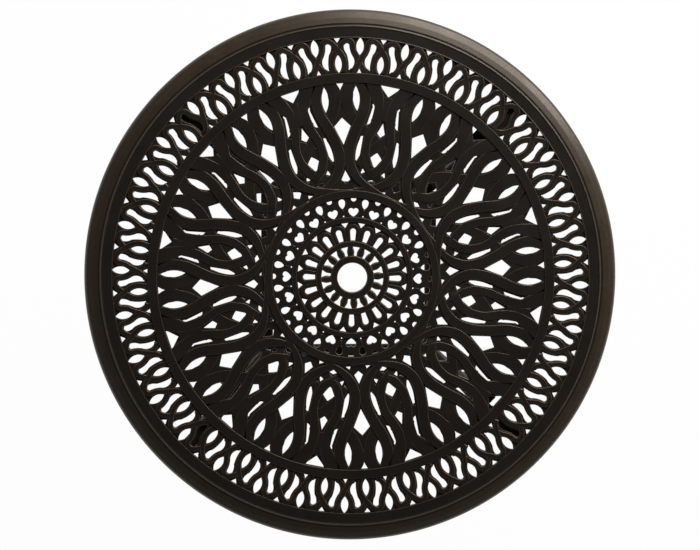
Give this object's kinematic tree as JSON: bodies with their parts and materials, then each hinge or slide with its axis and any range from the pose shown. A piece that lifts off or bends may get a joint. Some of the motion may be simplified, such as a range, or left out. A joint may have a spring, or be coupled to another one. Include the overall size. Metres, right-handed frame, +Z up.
{
  "type": "round garden table",
  "caption": "Round openwork cast aluminium garden table with an umbrella hole, curved legs, a square stretcher and levelling feet.",
  "frame": {"origin": "on the floor under the middle of the top", "axes": "+Z up, the legs on the diagonals between X and Y, the picture's right along +X"},
  "size_m": [1.0739, 1.074, 0.737],
  "materials": {
    "coated_cast_aluminium": "cast, dark bronze powder coat",
    "zinc_plated_steel": "zinc plated",
    "black_nylon": "moulded"
  },
  "bodies": {
    "table": {"top_rim": "coated_cast_aluminium", "outer_band": "coated_cast_aluminium", "middle_ring": "coated_cast_aluminium", "field_lattice": "coated_cast_aluminium", "rosette_ring": "coated_cast_aluminium", "rosette": "coated_cast_aluminium", "hub": "coated_cast_aluminium", "stretcher_frame": "coated_cast_aluminium", "top_bolts": "zinc_plated_steel", "top_washers": "zinc_plated_steel", "corner_bolts": "zinc_plated_steel", "corner_washers": "zinc_plated_steel", "leg_back_right": "coated_cast_aluminium", "leg_bracket_back_right": "coated_cast_aluminium", "leg_back_left": "coated_cast_aluminium", "leg_bracket_back_left": "coated_cast_aluminium", "leg_front_left": "coated_cast_aluminium", "leg_bracket_front_left": "coated_cast_aluminium", "leg_front_right": "coated_cast_aluminium", "leg_bracket_front_right": "coated_cast_aluminium"},
    "levelling_foot_back_right": {"foot_pad_back_right": "black_nylon", "foot_stud_back_right": "zinc_plated_steel"},
    "levelling_foot_back_left": {"foot_pad_back_left": "black_nylon", "foot_stud_back_left": "zinc_plated_steel"},
    "levelling_foot_front_left": {"foot_pad_front_left": "black_nylon", "foot_stud_front_left": "zinc_plated_steel"},
    "levelling_foot_front_right": {"foot_pad_front_right": "black_nylon", "foot_stud_front_right": "zinc_plated_steel"}
  },
  "joints": [
    {"name": "foot_turn_back_right", "type": "hinge", "parent": "table", "child": "levelling_foot_back_right", "pos_m": [0.29628, 0.29628, 0.01], "axis": [0, 0, 1], "continuous": true},
    {"name": "foot_turn_back_left", "type": "hinge", "parent": "table", "child": "levelling_foot_back_left", "pos_m": [-0.29628, 0.29628, 0.01], "axis": [0, 0, 1], "continuous": true},
    {"name": "foot_turn_front_left", "type": "hinge", "parent": "table", "child": "levelling_foot_front_left", "pos_m": [-0.29628, -0.29628, 0.01], "axis": [0, 0, 1], "continuous": true},
    {"name": "foot_turn_front_right", "type": "hinge", "parent": "table", "child": "levelling_foot_front_right", "pos_m": [0.29628, -0.29628, 0.01], "axis": [0, 0, 1], "continuous": true}
  ]
}
